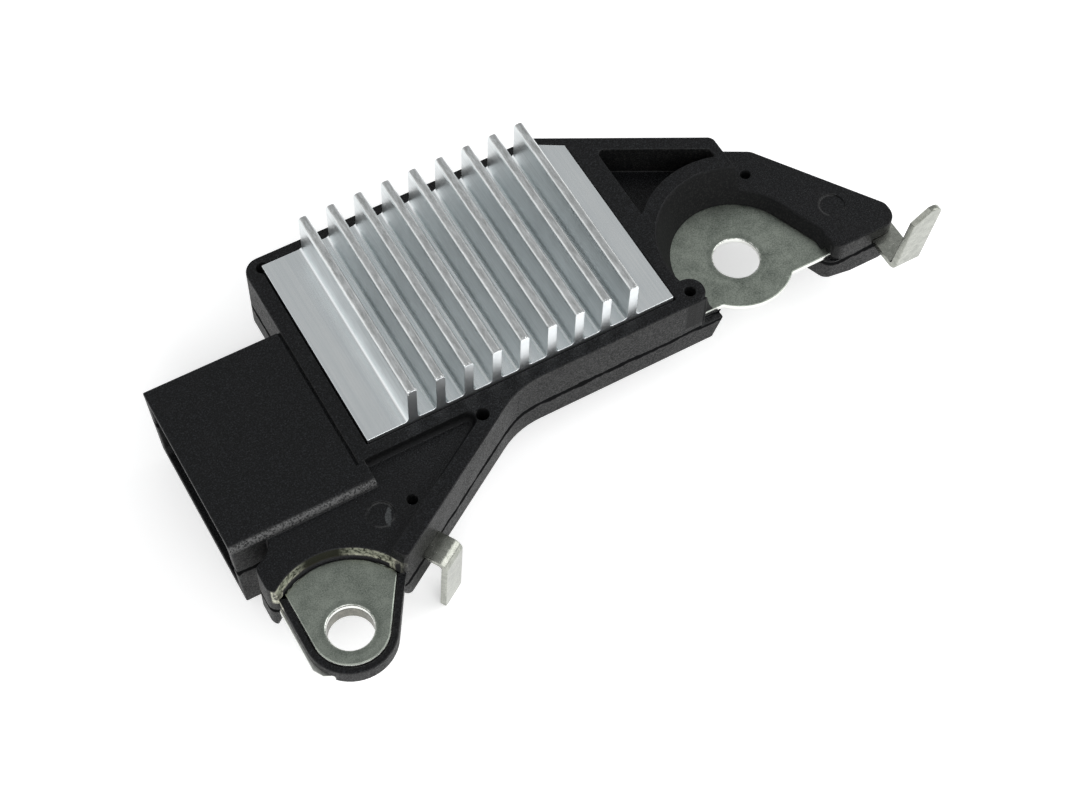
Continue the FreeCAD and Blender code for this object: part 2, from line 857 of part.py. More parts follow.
    roundEdges(body, "wallEnd", s.wallEndRound, wallEnd)

    # plastic of the ear, with a seat for its plate
    pad(body, "ear", zero, s.earTop - s.earRimDrop, earOutline(s.earRadius, s.earWallTop + 0.6))
    pocket(body, "plateSeat", s.earTop - s.sheetThick, s.earTop,
           earOutline(s.earPlate + 0.05, s.earWall + 0.3))

    # the two fixing holes run right through
    drill(body, "fixingHoles", s.rimTop, floorZ, [
        (zero, zero, s.lowerHole),
        (eyeX, eyeY, s.upperHole),
    ])

    # round post that carries the right end of the heat sink's rim
    sketch = newSketch(body, "postSketch", offset=(0, 0, zero))
    drawCircle(sketch, eyeX - s.postX, eyeY - s.postY, s.postRadius)
    extrude(body, "Pad", "post", sketch, s.rimTop)

    # upper triangular pocket, its near wall runs round the eye
    left = sinkRight + s.pocketLeft
    right = bodyRight - 1.5
    rise = root(s.pocketArc * s.pocketArc - (eyeX - left) * (eyeX - left))
    climb = root(s.pocketArc * s.pocketArc - (right - eyeX) * (right - eyeX))
    pocket(body, "triangle", s.pocketFloor, s.rimTop, [
        (left, eyeY + rise),
        Arc(eyeX, eyeY, -1),
        (right, eyeY + climb),
        (right, slantY(right) - s.pocketRim, 0.5),
        (left, slantY(left) - s.pocketRim, 0.8),
    ])

    # seat of the heat sink, the cavity under it and the recess of the back cover
    gap = s.sinkGap
    pocket(body, "sinkSeat", sinkUnder, s.rimTop, [
        (s.sinkLeft - gap, s.sinkNear - gap),
        (sinkRight + gap, s.sinkNear - gap),
        (sinkRight + gap, sinkFar - s.sinkCutY + gap),
        (slantX + gap, sinkFar + gap),
        (s.sinkLeft - gap, sinkFar + gap),
    ])
    drill(body, "cornerRelief", s.rimTop, sinkUnder, [(s.sinkLeft, sinkFar, gap * 3)])
    pocket(body, "cavity", coverUnder, sinkUnder,
           rectangle(cavityLeft, cavityNear, cavityRight, cavityFar, 1.0))
    ledge = s.coverLedge
    pocket(body, "coverRecess", floorZ, coverUnder,
           rectangle(cavityLeft - ledge, cavityNear - ledge, cavityRight + ledge, cavityFar + ledge, 1.6))

    # hollow of the socket, cut in from the mouth
    wall = s.socketWall
    sketch = newSketch(body, "hollowSketch", "YZ_Plane", offset=(0, 0, mouthX - 1.0))
    drawOutline(sketch, rectangle(socketNear + wall, -s.socketDepth + wall,
                                  socketFar - wall, s.rimTop - wall, 1.2))
    extrude(body, "Pocket", "hollow", sketch, s.socketHollow + 1.0, back=True)

    # small holes over the leads and faint ejector marks
    drill(body, "rimHoles", s.rimTop, s.sheetThick, [
        (frameLeft + 16.9, frameNear - 1.3, s.leadHole + 0.15),
        (eyeX - s.postX, eyeY - s.postY, s.postHole),
        (frameLeft + 3.8, frameNear - 7.1, s.leadHole),
        (kneeX - 2.8, kneeY - 3.1, s.leadHole),
    ])
    for name, level, x, y in (("webMark", s.webTop, frameLeft - 0.6, frameNear - 7.1),
                              ("armMark", s.armTop, kneeX + 4.8, kneeY - 13.2)):
        drill(body, name, level, level - s.ejectorDepth, [(x, y, s.ejectorRadius)])

    # fine seam where the socket's top meets the frame
    pocket(body, "socketSeam", s.rimTop - s.seamDeep, s.rimTop,
           rectangle(frameLeft - s.seamWide, socketNear - 1.0, frameLeft, socketFar + 1.0))

    # rounded top edges of the socket
    def socketTopEdge(edge):
        middle = edgeMiddle(edge)
        along = edge.BoundBox.XLength > 3
        level = close(middle.z, s.rimTop) and edge.BoundBox.ZLength < 0.01
        return along and level and close(middle.y, socketNear)

    roundEdges(body, "socketRound", s.socketRound, socketTopEdge)
    return body


# Pieces inside the sealed cavity

def makeSlab(name, low, high, left, near, right, far, radius=0):
    body = newBody(name)
    pad(body, "slab", asSize(low), asSize(high), rectangle(left, near, right, far, radius))
    return body


def makeElectronics():
    pieces = []
    middleX = (cavityLeft + cavityRight) / 2
    middleY = (cavityNear + cavityFar) / 2 + 0.8
    left = middleX - s.substrateLong / 2
    near = middleY - s.substrateWide / 2
    glueUnder = sinkUnder - s.glueThick
    boardUnder = glueUnder - s.substrateThick
    pieces.append(makeSlab("thermal_adhesive", glueUnder, sinkUnder, left, near,
                           left + s.substrateLong, near + s.substrateWide))
    pieces.append(makeSlab("ceramic_substrate", boardUnder, glueUnder, left, near,
                           left + s.substrateLong, near + s.substrateWide))
    # each chip hangs from the board: name, place from its corner, plan and height
    spreader = makeSlab("copper_spreader", boardUnder - 0.7, boardUnder, left + 15.0, near + 2.5,
                        left + 24.0, near + 10.5)
    pieces.append(spreader)
    pieces.append(makeSlab("driver_transistor", boardUnder - 1.1, boardUnder - 0.7, left + 16.5, near + 3.8,
                           left + 22.5, near + 9.2))
    chips = (
        ("control_chip", 5.0, 5.0, 6.0, 6.0, 1.1),
        ("freewheel_diode", 16.0, 12.0, 4.5, 3.5, 1.2),
        ("filter_capacitor_1", 5.5, 12.8, 3.2, 1.8, 1.4),
        ("filter_capacitor_2", 10.4, 12.8, 3.2, 1.8, 1.4),
        ("divider_resistor_1", 5.2, 1.6, 2.0, 1.3, 0.5),
        ("divider_resistor_2", 8.6, 1.6, 2.0, 1.3, 0.5),
    )
    for name, x, y, long, wide, high in chips:
        pieces.append(makeSlab(name, boardUnder - high, boardUnder, left + x, near + y,
                               left + x + long, near + y + wide))
    pieces.append(makeSlab("potting_gel", coverUnder, -s.gelTop, cavityLeft, cavityNear,
                           cavityRight, cavityFar, 1.0))
    reach = s.coverLedge - s.coverGap
    pieces.append(makeSlab("back_cover", floorZ, coverUnder, cavityLeft - reach, cavityNear - reach,
                           cavityRight + reach, cavityFar + reach, 1.45))
    pieces.append(makeBondWires(left.value, near.value, boardUnder.value))
    return pieces


cornerMitre = 1


def makeBondWires(left, near, boardUnder):
    # Round wires looped from the underside of each lead to the underside of the board.
    dip = -s.wireDip.value
    bend = s.wireBend.value
    right = left + s.substrateLong.value
    far = near + s.substrateWide.value
    pinRow = [socketNear.value + s.pinFirst.value + i * s.pinPitch.value for i in range(int(s.pinCount.value))]
    runs = []
    for y in pinRow:
        runs.append((vector(cavityLeft.value + 1.5, y, 0), vector(left + 1.0, max(y, near + 1.0), 0)))
    rowY = cavityNear.value + 1.2
    tailX = cavityLeft.value + 5.0
    stripX = s.lowerTabX.value + 11.9
    runs.append((vector(tailX, rowY, 0), vector(max(tailX, left + 2.4), near + 1.0, 0)))
    runs.append((vector(stripX, rowY, 0), vector(stripX, near + 1.0, 0)))
    edge = cavityRight.value - 1.2
    ringY = eyeY.value + 1.4
    tabY = cavityFar.value - 4.2
    runs.append((vector(edge, ringY, 0), vector(right - 1.0, max(ringY, near + 1.2), 0)))
    runs.append((vector(edge, tabY, 0), vector(right - 1.0, min(tabY, far - 1.2), 0)))
    wires = []
    for start, end in runs:
        across = vector(end - start).normalize() * bend
        path = Part.makePolygon([
            start,
            start + vector(0, 0, dip + bend),
            start + across + vector(0, 0, dip),
            end - across + vector(0, 0, dip),
            end + vector(0, 0, dip + bend),
            end + vector(0, 0, boardUnder),
        ])
        profile = Part.Wire([Part.Circle(start, vector(0, 0, -1), s.wireRadius.value).toShape()])
        wires.append(path.makePipeShell([profile], True, True, cornerMitre))
    group = doc.addObject("Part::Feature", "bond_wires")
    group.Shape = Part.makeCompound(wires)
    return group


heatSink = makeHeatSink()
leads = [makeRingTerminal(), makeRightTab(), makeLowerTab(), makeEarLead()]
leads += [makePin(index) for index in range(int(s.pinCount.value))]
sleeve = makeSleeve()
earPlate = makeEarPlate()
moulding = makeMoulding()
electronics = makeElectronics()

# The plastic is moulded round the inserts, so it is cut by their own shapes
inserts = doc.addObject("Part::Compound", "inserts")
inserts.Links = leads + [sleeve, earPlate]
housing = doc.addObject("Part::Cut", "housing")
housing.Base = moulding
housing.Tool = inserts

doc.recompute()
pieces = [housing, heatSink, earPlate, sleeve] + leads + electronics

failed = [item.Name for item in doc.Objects if "Invalid" in item.State or "Error" in item.State]
for piece in pieces:
    piece.Label = piece.Name
    shape = piece.Shape
    if shape.isNull() or not shape.isValid() or shape.Volume <= 0:
        failed.append(piece.Name)
if failed:
    raise RuntimeError("not built: " + ", ".join(failed))

os.makedirs("parts", exist_ok=True)
for piece in pieces:
    piece.Shape.exportStep(f"parts/{piece.Label}.step")
    print(f"{piece.Label}: {len(piece.Shape.Solids)} solid, {piece.Shape.Volume:.1f} mm3")
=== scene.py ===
import json
import math
import random

import bmesh
import bpy
from mathutils import Matrix, Vector
from mathutils.geometry import intersect_point_line


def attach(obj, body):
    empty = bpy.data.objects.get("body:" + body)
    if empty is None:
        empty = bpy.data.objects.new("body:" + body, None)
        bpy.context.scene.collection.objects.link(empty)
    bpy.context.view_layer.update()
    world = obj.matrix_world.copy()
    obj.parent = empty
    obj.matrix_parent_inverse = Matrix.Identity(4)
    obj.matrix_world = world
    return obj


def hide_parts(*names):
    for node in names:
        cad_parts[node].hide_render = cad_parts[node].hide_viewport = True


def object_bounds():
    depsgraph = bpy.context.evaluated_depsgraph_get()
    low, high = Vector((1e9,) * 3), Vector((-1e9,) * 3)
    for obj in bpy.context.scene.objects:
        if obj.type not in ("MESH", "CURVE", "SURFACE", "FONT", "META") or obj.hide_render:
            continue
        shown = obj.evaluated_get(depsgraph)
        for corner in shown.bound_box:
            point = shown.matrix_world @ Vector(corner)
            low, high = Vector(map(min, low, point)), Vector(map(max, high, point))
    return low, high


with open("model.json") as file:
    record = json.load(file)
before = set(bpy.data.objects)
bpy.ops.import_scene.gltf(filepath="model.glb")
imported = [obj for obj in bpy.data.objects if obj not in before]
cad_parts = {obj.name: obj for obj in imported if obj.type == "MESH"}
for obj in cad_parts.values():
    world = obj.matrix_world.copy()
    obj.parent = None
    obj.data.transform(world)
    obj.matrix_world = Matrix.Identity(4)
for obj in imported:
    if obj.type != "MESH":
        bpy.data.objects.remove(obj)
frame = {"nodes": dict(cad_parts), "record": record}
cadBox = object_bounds()
print("frame loaded")

mm = 0.001


# Shader maths: a socket that takes part in Python expressions
class Wire:
    def __init__(self, finish, socket):
        self.finish = finish
        self.socket = socket

    def calc(self, operation, *others, clamp=False):
        values = {0: self}
        for place, other in enumerate(others, start=1):
            values[place] = other
        return self.finish.node("ShaderNodeMath", {"operation": operation, "use_clamp": clamp}, values)

    def __add__(self, other):
        return self.calc("ADD", other)

    def __sub__(self, other):
        return self.calc("SUBTRACT", other)

    def __rsub__(self, other):
        return (self * -1).calc("ADD", other)

    def __mul__(self, other):
        return self.calc("MULTIPLY", other)

    def __truediv__(self, other):
        return self.calc("DIVIDE", other)

    def __pow__(self, other):
        return self.calc("POWER", other)

    def __abs__(self):
        return self.calc("ABSOLUTE")

    __radd__ = __add__
    __rmul__ = __mul__

    def above(self, edge, soft):
        # 0 below the edge, 1 above it, with a soft step between
        return ((self - edge) / soft + 0.5).calc("ADD", 0.0, clamp=True)

    def below(self, edge, soft):
        return 1 - self.above(edge, soft)

    def band(self, low, high, soft):
        return self.above(low, soft) * self.below(high, soft)


class Finish:
    def __init__(self, owner):
        # owner is a new material or world
        self.owner = owner
        self.owner.use_nodes = True
        self.tree = self.owner.node_tree
        self.tree.nodes.clear()
        self.place = None

    def node(self, kind, settings=None, values=None, output=0):
        made = self.tree.nodes.new(kind)
        for key, value in (settings or {}).items():
            if key == "stops":
                self.setStops(made.color_ramp, value)
            else:
                setattr(made, key, value)
        for key, value in (values or {}).items():
            self.feed(made.inputs[key], value)
        return Wire(self, made.outputs[output]) if len(made.outputs) else made

    def feed(self, socket, value):
        if isinstance(value, Wire):
            self.tree.links.new(value.socket, socket)
        elif isinstance(value, tuple) and socket.type == "RGBA":
            socket.default_value = (*value, 1.0)
        else:
            socket.default_value = value

    def setStops(self, ramp, stops):
        while len(ramp.elements) < len(stops):
            ramp.elements.new(0.5)
        for element, (position, shade) in zip(ramp.elements, stops):
            element.position = position
            element.color = (*shade, 1.0)

    def objectPlace(self):
        if self.place is None:
            self.place = self.node("ShaderNodeTexCoord", output="Object")
        return self.place

    def split(self, vector):
        spread = self.node("ShaderNodeSeparateXYZ", values={0: vector})
        return [Wire(self, output) for output in spread.socket.node.outputs]

    def axes(self):
        # place on the piece in millimetres
        return [part / mm for part in self.split(self.objectPlace())]

    def facing(self):
        # the way that the face points
        return self.split(self.node("ShaderNodeNewGeometry", output="Normal"))

    def stretched(self, share):
        # draws a pattern out along Y, the way the fins run
        scale = (1.0, share, 1.0)
        return self.node("ShaderNodeMapping", values={"Vector": self.objectPlace(), "Scale": scale})

    def noise(self, size, detail, rough, place=None):
        # size is the width of one blot in millimetres
        return self.node("ShaderNodeTexNoise", values={
            "Vector": place or self.objectPlace(),
            "Scale": 1.0 / (size * mm),
            "Detail": detail,
            "Roughness": rough,
        })

    def ramp(self, value, *stops):
        return self.node("ShaderNodeValToRGB", {"stops": stops}, {0: value})

    def blend(self, amount, first, second):
        settings = {"data_type": "RGBA", "clamp_factor": True}
        return self.node("ShaderNodeMix", settings, {0: amount, 6: first, 7: second}, output=2)

    def bump(self, height, depth):
        # depth is the height of the relief in millimetres
        values = {"Height": height, "Strength": 1.0, "Distance": depth * mm}
        return self.node("ShaderNodeBump", values=values)

    def surface(self, dull=None, matteAndShade=None, **values):
        # dull is the share of the face that shows a plain matte colour, without a shine; on the housing it
        # gives pits, the parting line and painted shade
        sockets = {key.replace("_", " "): value for key, value in values.items()}
        shader = self.node("ShaderNodeBsdfPrincipled", values=sockets)
        if dull is not None:
            matteShader = self.node("ShaderNodeBsdfDiffuse", values={"Color": matteAndShade})
            shader = self.node("ShaderNodeMixShader", values={0: dull, 1: shader, 2: matteShader})
        self.node("ShaderNodeOutputMaterial", values={"Surface": shader})
        return self.owner


def grey(value):
    return (value, value, value)


def distance(x, y, middle):
    # distance in plan from an upright axis
    across = x - middle[0]
    along = y - middle[1]
    return (across * across + along * along) ** 0.5


# Housing plastic: glossy black with a fine grain
plasticLook = {
    "shade": (0.0030, 0.0032, 0.0036),
    "topSpeck": (0.023, 0.025, 0.029),
    # walls take lighter flecks than tops: grain, and a painted sheen on the walls
    "wallSpeckAndSheen": (0.050, 0.050, 0.046),
    "speckShare": 0.8,
    "grainSize": 0.22,
    "fineSize": 0.13,
    "mottleSize": 3.5,
    "mottleShade": 0.012,
    "topRoughness": 0.27,
    "wallRoughness": 0.44,
    "slopeRoughness": 0.16,
    "pitSize": 0.20,
    "topPits": 0.42,
    "wallPits": 0.52,
    # matte black for pits and the parting line, also the painted shade on the dull slopes
    "matteAndPaintedShade": (0.006, 0.0062, 0.0066),
    "reliefDepth": 0.075,
    "shine": 0.31,
}

# Parting line: a dark wavy line round the walls, wider and narrower by turns
partingLook = {
    "height": -0.45,
    "halfWidth": 0.42,
    "changeOfWidth": 0.8,
    "changeSize": 2.2,
    "longWave": (7.0, 1.0),
    "shortWave": (1.2, 0.5),
    "share": 0.95,
}

# Wall of the ear's pocket: a brownish metallic band, with painted highlights as light flecks at both ends
earWallLook = {
    "inner": 8.6,
    "outer": 10.45,
    "low": 1.6,
    "high": 4.66,
    "near": 4.2,
    "shade": (0.030, 0.029, 0.020),
    "endGlintShade": (0.58, 0.58, 0.47),
    "endGlintSize": 0.5,
    "middle": 1.0,
    "plainHalf": 3.0,
    "roughness": 0.40,
    "metallic": 0.8,
}

# Ejector marks: painted highlights on their rims, and a painted highlight patch across the one on the web
rimHighlightLook = {
    "middles": ((9.9, 11.0), (86.2, 24.6)),
    "radius": 1.85,
    "rim": (0.25, 0.05),
    "shade": 0.09,
    "share": 0.5,
}
patchHighlightLook = {
    "middle": (10.67, 10.42),
    "way": (0.45, 0.89),
    "halfLength": 1.5,
    "halfWidth": 0.42,
    "raggedSize": 0.7,
    "shade": (0.075, 0.080, 0.082),
    "share": 0.8,
}

# Painted highlight along the near edge of the socket's top
edgeHighlightLook = {
    "near": 14.5,
    "far": 15.3,
    "low": 5.0,
    "right": 11.6,
    "shade": 0.11,
    "share": 0.85,
}

# Painted shade on slopes: the cone of the upper eye and the foot of the ridge
eyeShadeLook = {
    "middle": (71.1, 24.6),
    "reach": 14.0,
    "low": 0.8,
    "share": 0.55,
}
ridgeShadeLook = {
    "left": 11.6,
    "right": 29.2,
    "near": 11.5,
    "far": 18.4,
    "low": 4.6,
    "share": 0.75,
}


def partingLine(f, z, change):
    look = partingLook
    longSize, longRise = look["longWave"]
    shortSize, shortRise = look["shortWave"]
    longWave = (f.noise(longSize, 3.0, 0.6) - 0.5) * longRise
    shortWave = (f.noise(shortSize, 2.0, 0.6) - 0.5) * shortRise
    halfWidth = (change - 0.5) * look["changeOfWidth"] + look["halfWidth"]
    return abs(z - longWave - shortWave - look["height"]).below(halfWidth, 0.18)


def earWall(f, x, y, z, up):
    look = earWallLook
    belt = distance(x, y, (0.0, 0.0)).band(look["inner"], look["outer"], 0.2)
    belt = belt * z.band(look["low"], look["high"], 0.2) * y.above(look["near"], 1.5)
    # painted highlights: light flecks at both ends of the band
    endGlints = f.noise(look["endGlintSize"], 3.0, 0.7).above(0.46, 0.2)
    endGlints = endGlints * abs(x - look["middle"]).above(look["plainHalf"], 2.0)
    return belt * abs(up).below(0.6, 0.3), f.blend(endGlints, look["shade"], look["endGlintShade"])


def paintedHighlightPatch(f, x, y):
    look = patchHighlightLook
    wayX, wayY = look["way"]
    fromX = x - look["middle"][0]
    fromY = y - look["middle"][1]
    along = (fromX * wayX + fromY * wayY) / look["halfLength"]
    across = (fromX * wayY - fromY * wayX) / look["halfWidth"]
    ragged = (f.noise(look["raggedSize"], 3.0, 0.7) - 0.5) * 3.0
    return (along * along + across * across + ragged).below(0.8, 0.4)


def paintedEdgeHighlight(x, y, z, grain):
    look = edgeHighlightLook
    strip = y.band(look["near"], look["far"], 0.3) * z.above(look["low"], 0.3) * x.below(look["right"], 0.3)
    return strip * grain.above(0.46, 0.15)


def paintedShadeOnSlopes(x, y, z, aside, up):
    slope = up.band(-0.2, 0.93, 0.08)
    eye = distance(x, y, eyeShadeLook["middle"]).below(eyeShadeLook["reach"], 0.5) * z.above(eyeShadeLook["low"], 0.1)
    look = ridgeShadeLook
    ridge = x.band(look["left"], look["right"], 0.3) * y.band(look["near"], look["far"], 0.3)
    ridge = ridge * z.above(look["low"], 0.1) * aside.below(0.4, 0.2)
    return (eye * slope * eyeShadeLook["share"]).calc("MAXIMUM", ridge * slope * look["share"])


def makeHousingPlastic():
    look = plasticLook
    f = Finish(bpy.data.materials.new("housingPlastic"))
    x, y, z = f.axes()
    aside, _, up = f.facing()
    top = up.above(0.6, 0.3)
    wall = abs(up).below(0.35, 0.2)
    grain = f.noise(look["grainSize"], 2.0, 0.7)
    mottle = f.noise(look["mottleSize"], 4.0, 0.6)
    change = f.noise(partingLook["changeSize"], 2.0, 0.6)
    line = partingLine(f, z, change) * wall
    metal, metalShade = earWall(f, x, y, z, up)
    edgeHighlight = paintedEdgeHighlight(x, y, z, grain)

    # lighter flecks on walls than on tops: grain, and a painted sheen on the walls
    speck = f.blend(top, look["wallSpeckAndSheen"], look["topSpeck"])
    shade = f.blend(grain.above(0.60, 0.22) * look["speckShare"], look["shade"], speck)
    shade = f.blend(mottle.above(0.62, 0.3) * 0.25, shade, grey(look["mottleShade"]))
    shade = f.blend(line, shade, grey(0.0))
    shade = f.blend(metal, shade, metalShade)
    inner, outer = rimHighlightLook["rim"]
    # painted highlight on each ejector mark's rim
    for middle in rimHighlightLook["middles"]:
        rim = distance(x, y, middle).band(rimHighlightLook["radius"] - inner, rimHighlightLook["radius"] + outer, 0.12)
        rim = rim * top * change.above(0.48, 0.1)
        shade = f.blend(rim * rimHighlightLook["share"], shade, grey(rimHighlightLook["shade"]))
    # painted highlight patch on the web's ejector mark
    shade = f.blend(paintedHighlightPatch(f, x, y) * top * patchHighlightLook["share"], shade, patchHighlightLook["shade"])
    # painted highlight along the socket's near top edge
    shade = f.blend(edgeHighlight * edgeHighlightLook["share"], shade, grey(edgeHighlightLook["shade"]))

    rough = top * (look["topRoughness"] - look["wallRoughness"]) + look["wallRoughness"]
    rough = rough + (mottle - 0.5) * 0.14 + (grain - 0.5) * 0.35 + line * 0.4
    rough = rough * (1 - metal) + metal * earWallLook["roughness"]
    rough = rough + up.band(0.25, 0.96, 0.1) * (1 - edgeHighlight) * look["slopeRoughness"]

    pits = f.noise(look["pitSize"], 2.0, 0.6).above(0.48, 0.22)
    pits = pits * (top * look["topPits"] + wall * look["wallPits"]) * (0.65 + mottle * 0.7)
    dull = pits.calc("MAXIMUM", line * partingLook["share"])
    # painted shade on the eye's cone and the ridge's foot
    dull = dull.calc("MAXIMUM", paintedShadeOnSlopes(x, y, z, aside, up), clamp=True)
    dull = dull * (1 - metal) * (1 - edgeHighlight)

    relief = grain * 0.65 + f.noise(look["fineSize"], 1.0, 0.5) * 0.35 - line * 1.6
    return f.surface(dull, look["matteAndPaintedShade"], Base_Color=shade, Roughness=rough,
                     Normal=f.bump(relief, look["reliefDepth"]), Metallic=metal * earWallLook["metallic"],
                     Specular_IOR_Level=look["shine"])


# Drawn aluminium with streaks along the fins, darker dented fin tips, painted shade on the upper fin sides,
# and sawn ends
sinkLook = {
    "darkShade": (0.80, 0.84, 0.86),
    "shade": (0.865, 0.90, 0.915),
    "lightShade": (0.93, 0.95, 0.955),
    "tipShade": (0.50, 0.51, 0.505),
    "tipFrom": 12.9,
    "dentSize": 0.45,
    "dentStretch": 0.22,
    "paintedSideLow": (0.70, 0.73, 0.735),
    "paintedSideHigh": (0.90, 0.93, 0.935),
    "sideFrom": 6.8,
    "streakWidth": 0.22,
    "streakStretch": 0.012,
    "bandWidth": 1.4,
    "bandStretch": 0.02,
    "cloudSize": 9.0,
    "roughness": 0.22,
    "cutRoughness": 0.36,
    "sideRoughness": 0.14,
    "reliefDepth": 0.008,
}


def makeSinkAluminium():
    look = sinkLook
    f = Finish(bpy.data.materials.new("sinkAluminium"))
    z = f.axes()[2]
    aside, ahead, up = f.facing()
    fine = f.noise(look["streakWidth"], 3.0, 0.6, f.stretched(look["streakStretch"]))
    wide = f.noise(look["bandWidth"], 2.0, 0.5, f.stretched(look["bandStretch"]))
    cloud = f.noise(look["cloudSize"], 3.0, 0.6)
    dent = f.noise(look["dentSize"], 4.0, 0.75, f.stretched(look["dentStretch"]))
    cut = abs(ahead).above(0.7, 0.2)
    tip = z.above(look["tipFrom"], 0.3) * up.above(0.7, 0.2)
    side = abs(aside).above(0.7, 0.2) * z.above(look["sideFrom"], 1.5)

    shade = f.ramp(fine * 0.45 + wide * 0.35 + cloud * 0.2,
                   (0.34, look["darkShade"]), (0.5, look["shade"]), (0.66, look["lightShade"]))
    tipShade = f.ramp(dent, (0.32, look["tipShade"]), (0.72, look["lightShade"]))
    shade = f.blend(tip, shade, tipShade)
    # painted shade on the upper sides of the fins
    paintedSideShade = f.ramp(cloud * 0.5 + fine * 0.5, (0.38, look["paintedSideLow"]), (0.62, look["paintedSideHigh"]))
    shade = f.blend(side, shade, paintedSideShade)

    rough = (fine + cloud - 1.0) * 0.12 + look["roughness"]
    rough = rough * (1 - cut) + cut * look["cutRoughness"] + side * look["sideRoughness"]
    normal = f.bump(fine + f.noise(0.3, 2.0, 0.5) * 0.4, look["reliefDepth"])
    return f.surface(Base_Color=shade, Roughness=rough, Normal=normal, Metallic=1.0)


# Plated sheet: grainy faces, sheared edges painted light as a reflection, a light ring round each hole of
# chipped plating and painted highlight, and a painted reflection on the lead left of the ear
plateLook = {
    "faceLow": (0.185, 0.21, 0.182),
    "faceHigh": (0.42, 0.455, 0.40),
    "edgeAndGlintShade": (0.86, 0.87, 0.83),
    "cloudSize": 2.5,
    "grainSize": 0.16,
    "roughness": 0.34,
    "reliefDepth": 0.016,
    "holes": (((71.0, 24.6), 3.2), ((0.0, 0.0), 2.95)),
    "chipsAndGlintWidth": 0.16,
    "haloFrom": 0.25,
    "haloTo": 0.8,
    "haloShare": 0.22,
    "leadRight": -2.5,
    "leadTop": 2.0,
}


def makePlatedSteel():
    look = plateLook
    f = Finish(bpy.data.materials.new("platedSteel"))
    x, y, z = f.axes()
    up = f.facing()[2]
    cloud = f.noise(look["cloudSize"], 4.0, 0.6)
    grain = f.noise(look["grainSize"], 2.0, 0.6)
    rimChipsAndGlint = 0.0
    halo = 0.0
    for middle, radius in look["holes"]:
        away = distance(x, y, middle) - radius
        rimChipsAndGlint = away.below(look["chipsAndGlintWidth"], 0.12) + rimChipsAndGlint
        halo = away.band(look["haloFrom"], look["haloTo"], 0.25) + halo
    # light ring round each hole: chipped plating and a painted highlight
    rimChipsAndGlint = rimChipsAndGlint * f.noise(0.5, 3.0, 0.7).above(0.50, 0.2)
    # sheared edges, painted lighter as a reflection
    edge = abs(up).below(0.45, 0.2)
    # painted reflection on the lead's side left of the ear
    paintedLeadReflection = x.below(look["leadRight"], 0.5) * z.below(look["leadTop"], 0.3)

    shade = f.ramp(cloud * 0.4 + grain * 0.6, (0.36, look["faceLow"]), (0.66, look["faceHigh"]))
    haloShade = tuple(part * 0.6 for part in look["faceLow"])
    shade = f.blend(halo * look["haloShare"], shade, haloShade)
    shade = f.blend(edge.calc("MAXIMUM", rimChipsAndGlint).calc("MAXIMUM", paintedLeadReflection), shade, look["edgeAndGlintShade"])
    rough = ((cloud + grain - 1.0) * 0.2 + look["roughness"]) * (1 - edge * 0.45)
    normal = f.bump(grain + cloud * 0.3, look["reliefDepth"])
    return f.surface(Base_Color=shade, Roughness=rough, Normal=normal, Metallic=1.0)


# Bare plated pieces, by material slot: name, low and high shade, roughness
platedLook = {
    "tinned_lead": ("tinnedLead", (0.25, 0.26, 0.23), (0.45, 0.46, 0.415), 0.22),
    "sleeve_metal": ("sleeveMetal", (0.10, 0.10, 0.085), (0.24, 0.235, 0.20), 0.34),
}


def makePlated(name, low, high, roughness):
    f = Finish(bpy.data.materials.new(name))
    cloud = f.noise(1.0, 5.0, 0.6)
    grain = f.noise(0.18, 2.0, 0.5)
    shade = f.ramp(cloud * 0.6 + grain * 0.4, (0.36, low), (0.64, high))
    rough = cloud * 0.2 + grain * 0.15 + (roughness - 0.17)
    return f.surface(Base_Color=shade, Roughness=rough, Normal=f.bump(grain, 0.010), Metallic=1.0)


# Back cover and the pieces inside, by material slot: name, shade, roughness, metallic
plainLook = {
    "cover_plastic": ("coverPlastic", (0.012, 0.012, 0.013), 0.55, 0.0),
    "gel": ("gel", (0.5, 0.5, 0.5), 0.2, 0.0),
    "adhesive": ("adhesive", (0.75, 0.75, 0.72), 0.6, 0.0),
    "board_ceramic": ("boardCeramic", (0.85, 0.84, 0.80), 0.5, 0.0),
    "copper": ("copper", (0.75, 0.38, 0.25), 0.3, 1.0),
    "chip_plastic": ("chipPlastic", (0.02, 0.02, 0.022), 0.5, 0.0),
    "capacitor_ceramic": ("capacitorCeramic", (0.5, 0.38, 0.26), 0.4, 0.0),
    "wire_aluminium": ("wireAluminium", (0.8, 0.8, 0.8), 0.3, 1.0),
}


def makePlain(name, shade, roughness, metallic):
    f = Finish(bpy.data.materials.new(name))
    grain = f.noise(0.4, 3.0, 0.6)
    darker = tuple(part * 0.7 for part in shade)
    base = f.blend(grain, darker, shade)
    rough = grain * 0.1 + (roughness - 0.05)
    return f.surface(Base_Color=base, Roughness=rough, Normal=f.bump(grain, 0.02), Metallic=metallic)


finishes = {
    "housing_plastic": makeHousingPlastic(),
    "sink_aluminium": makeSinkAluminium(),
    "plated_steel": makePlatedSteel(),
}
for slot, look in platedLook.items():
    finishes[slot] = makePlated(*look)
for slot, look in plainLook.items():
    finishes[slot] = makePlain(*look)

slots = {row["node"]: row["material_slot"] for row in frame["record"]["subparts"]}
for nodeName, slot in slots.items():
    materials = frame["nodes"][nodeName].data.materials
    materials.clear()
    materials.append(finishes[slot])
print("finishes set")


